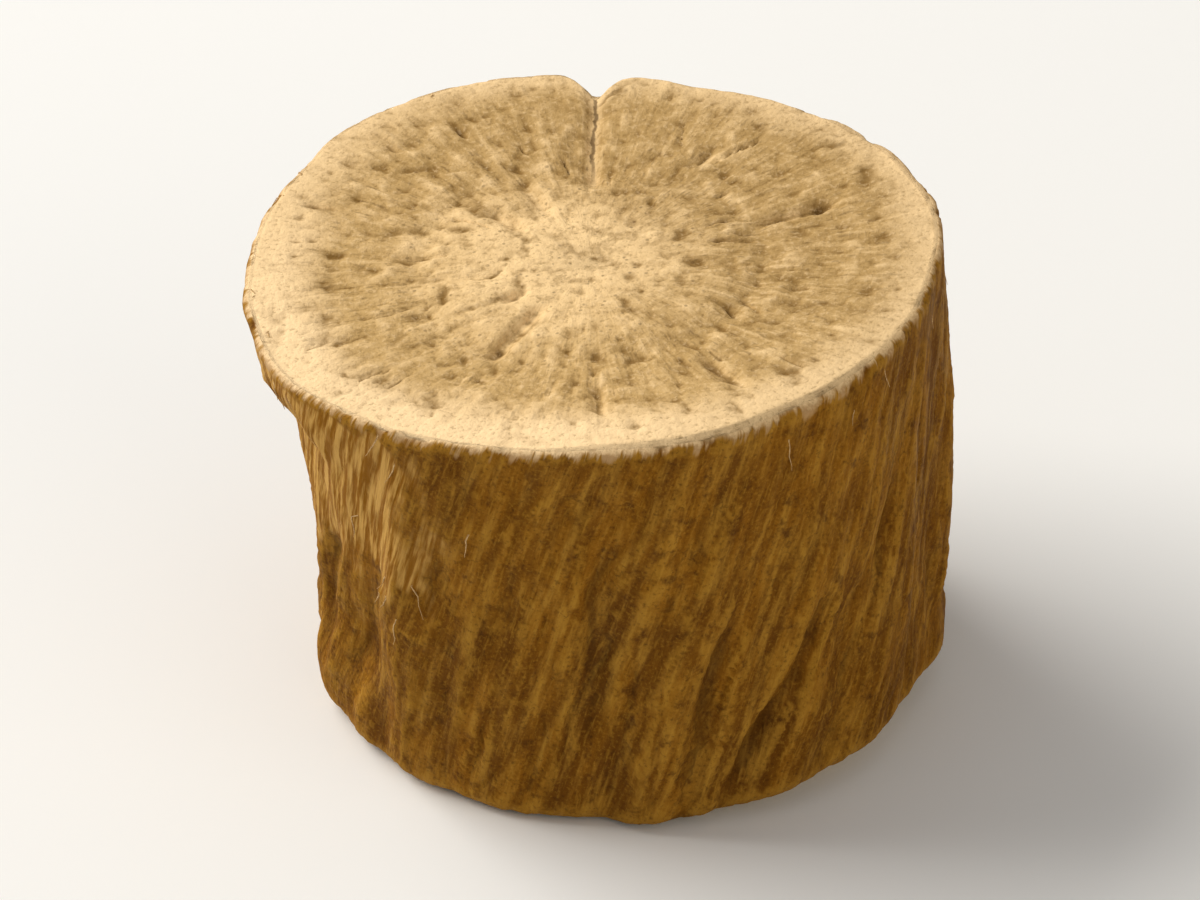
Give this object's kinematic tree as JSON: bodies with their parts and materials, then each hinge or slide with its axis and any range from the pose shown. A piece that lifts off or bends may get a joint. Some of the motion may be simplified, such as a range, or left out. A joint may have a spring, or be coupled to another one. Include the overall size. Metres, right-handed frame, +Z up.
{
  "type": "dried astragalus root chop",
  "caption": "Short drum-shaped chop of dried astragalus root, with furrowed bark and pale ringed cut ends, standing on its lower cut.",
  "frame": {"origin": "middle of the bounding box, on the ground that the lower cut face stands on", "axes": "+Z up along the root, -Y towards the viewer of the picture, +X to the viewer's right"},
  "size_m": [0.0106, 0.01, 0.0076],
  "materials": {
    "dried_root": "matt, with furrowed gold-brown bark and pale straw cut faces"
  },
  "bodies": {
    "root": {"astragalus_root": "dried_root"}
  },
  "joints": []
}
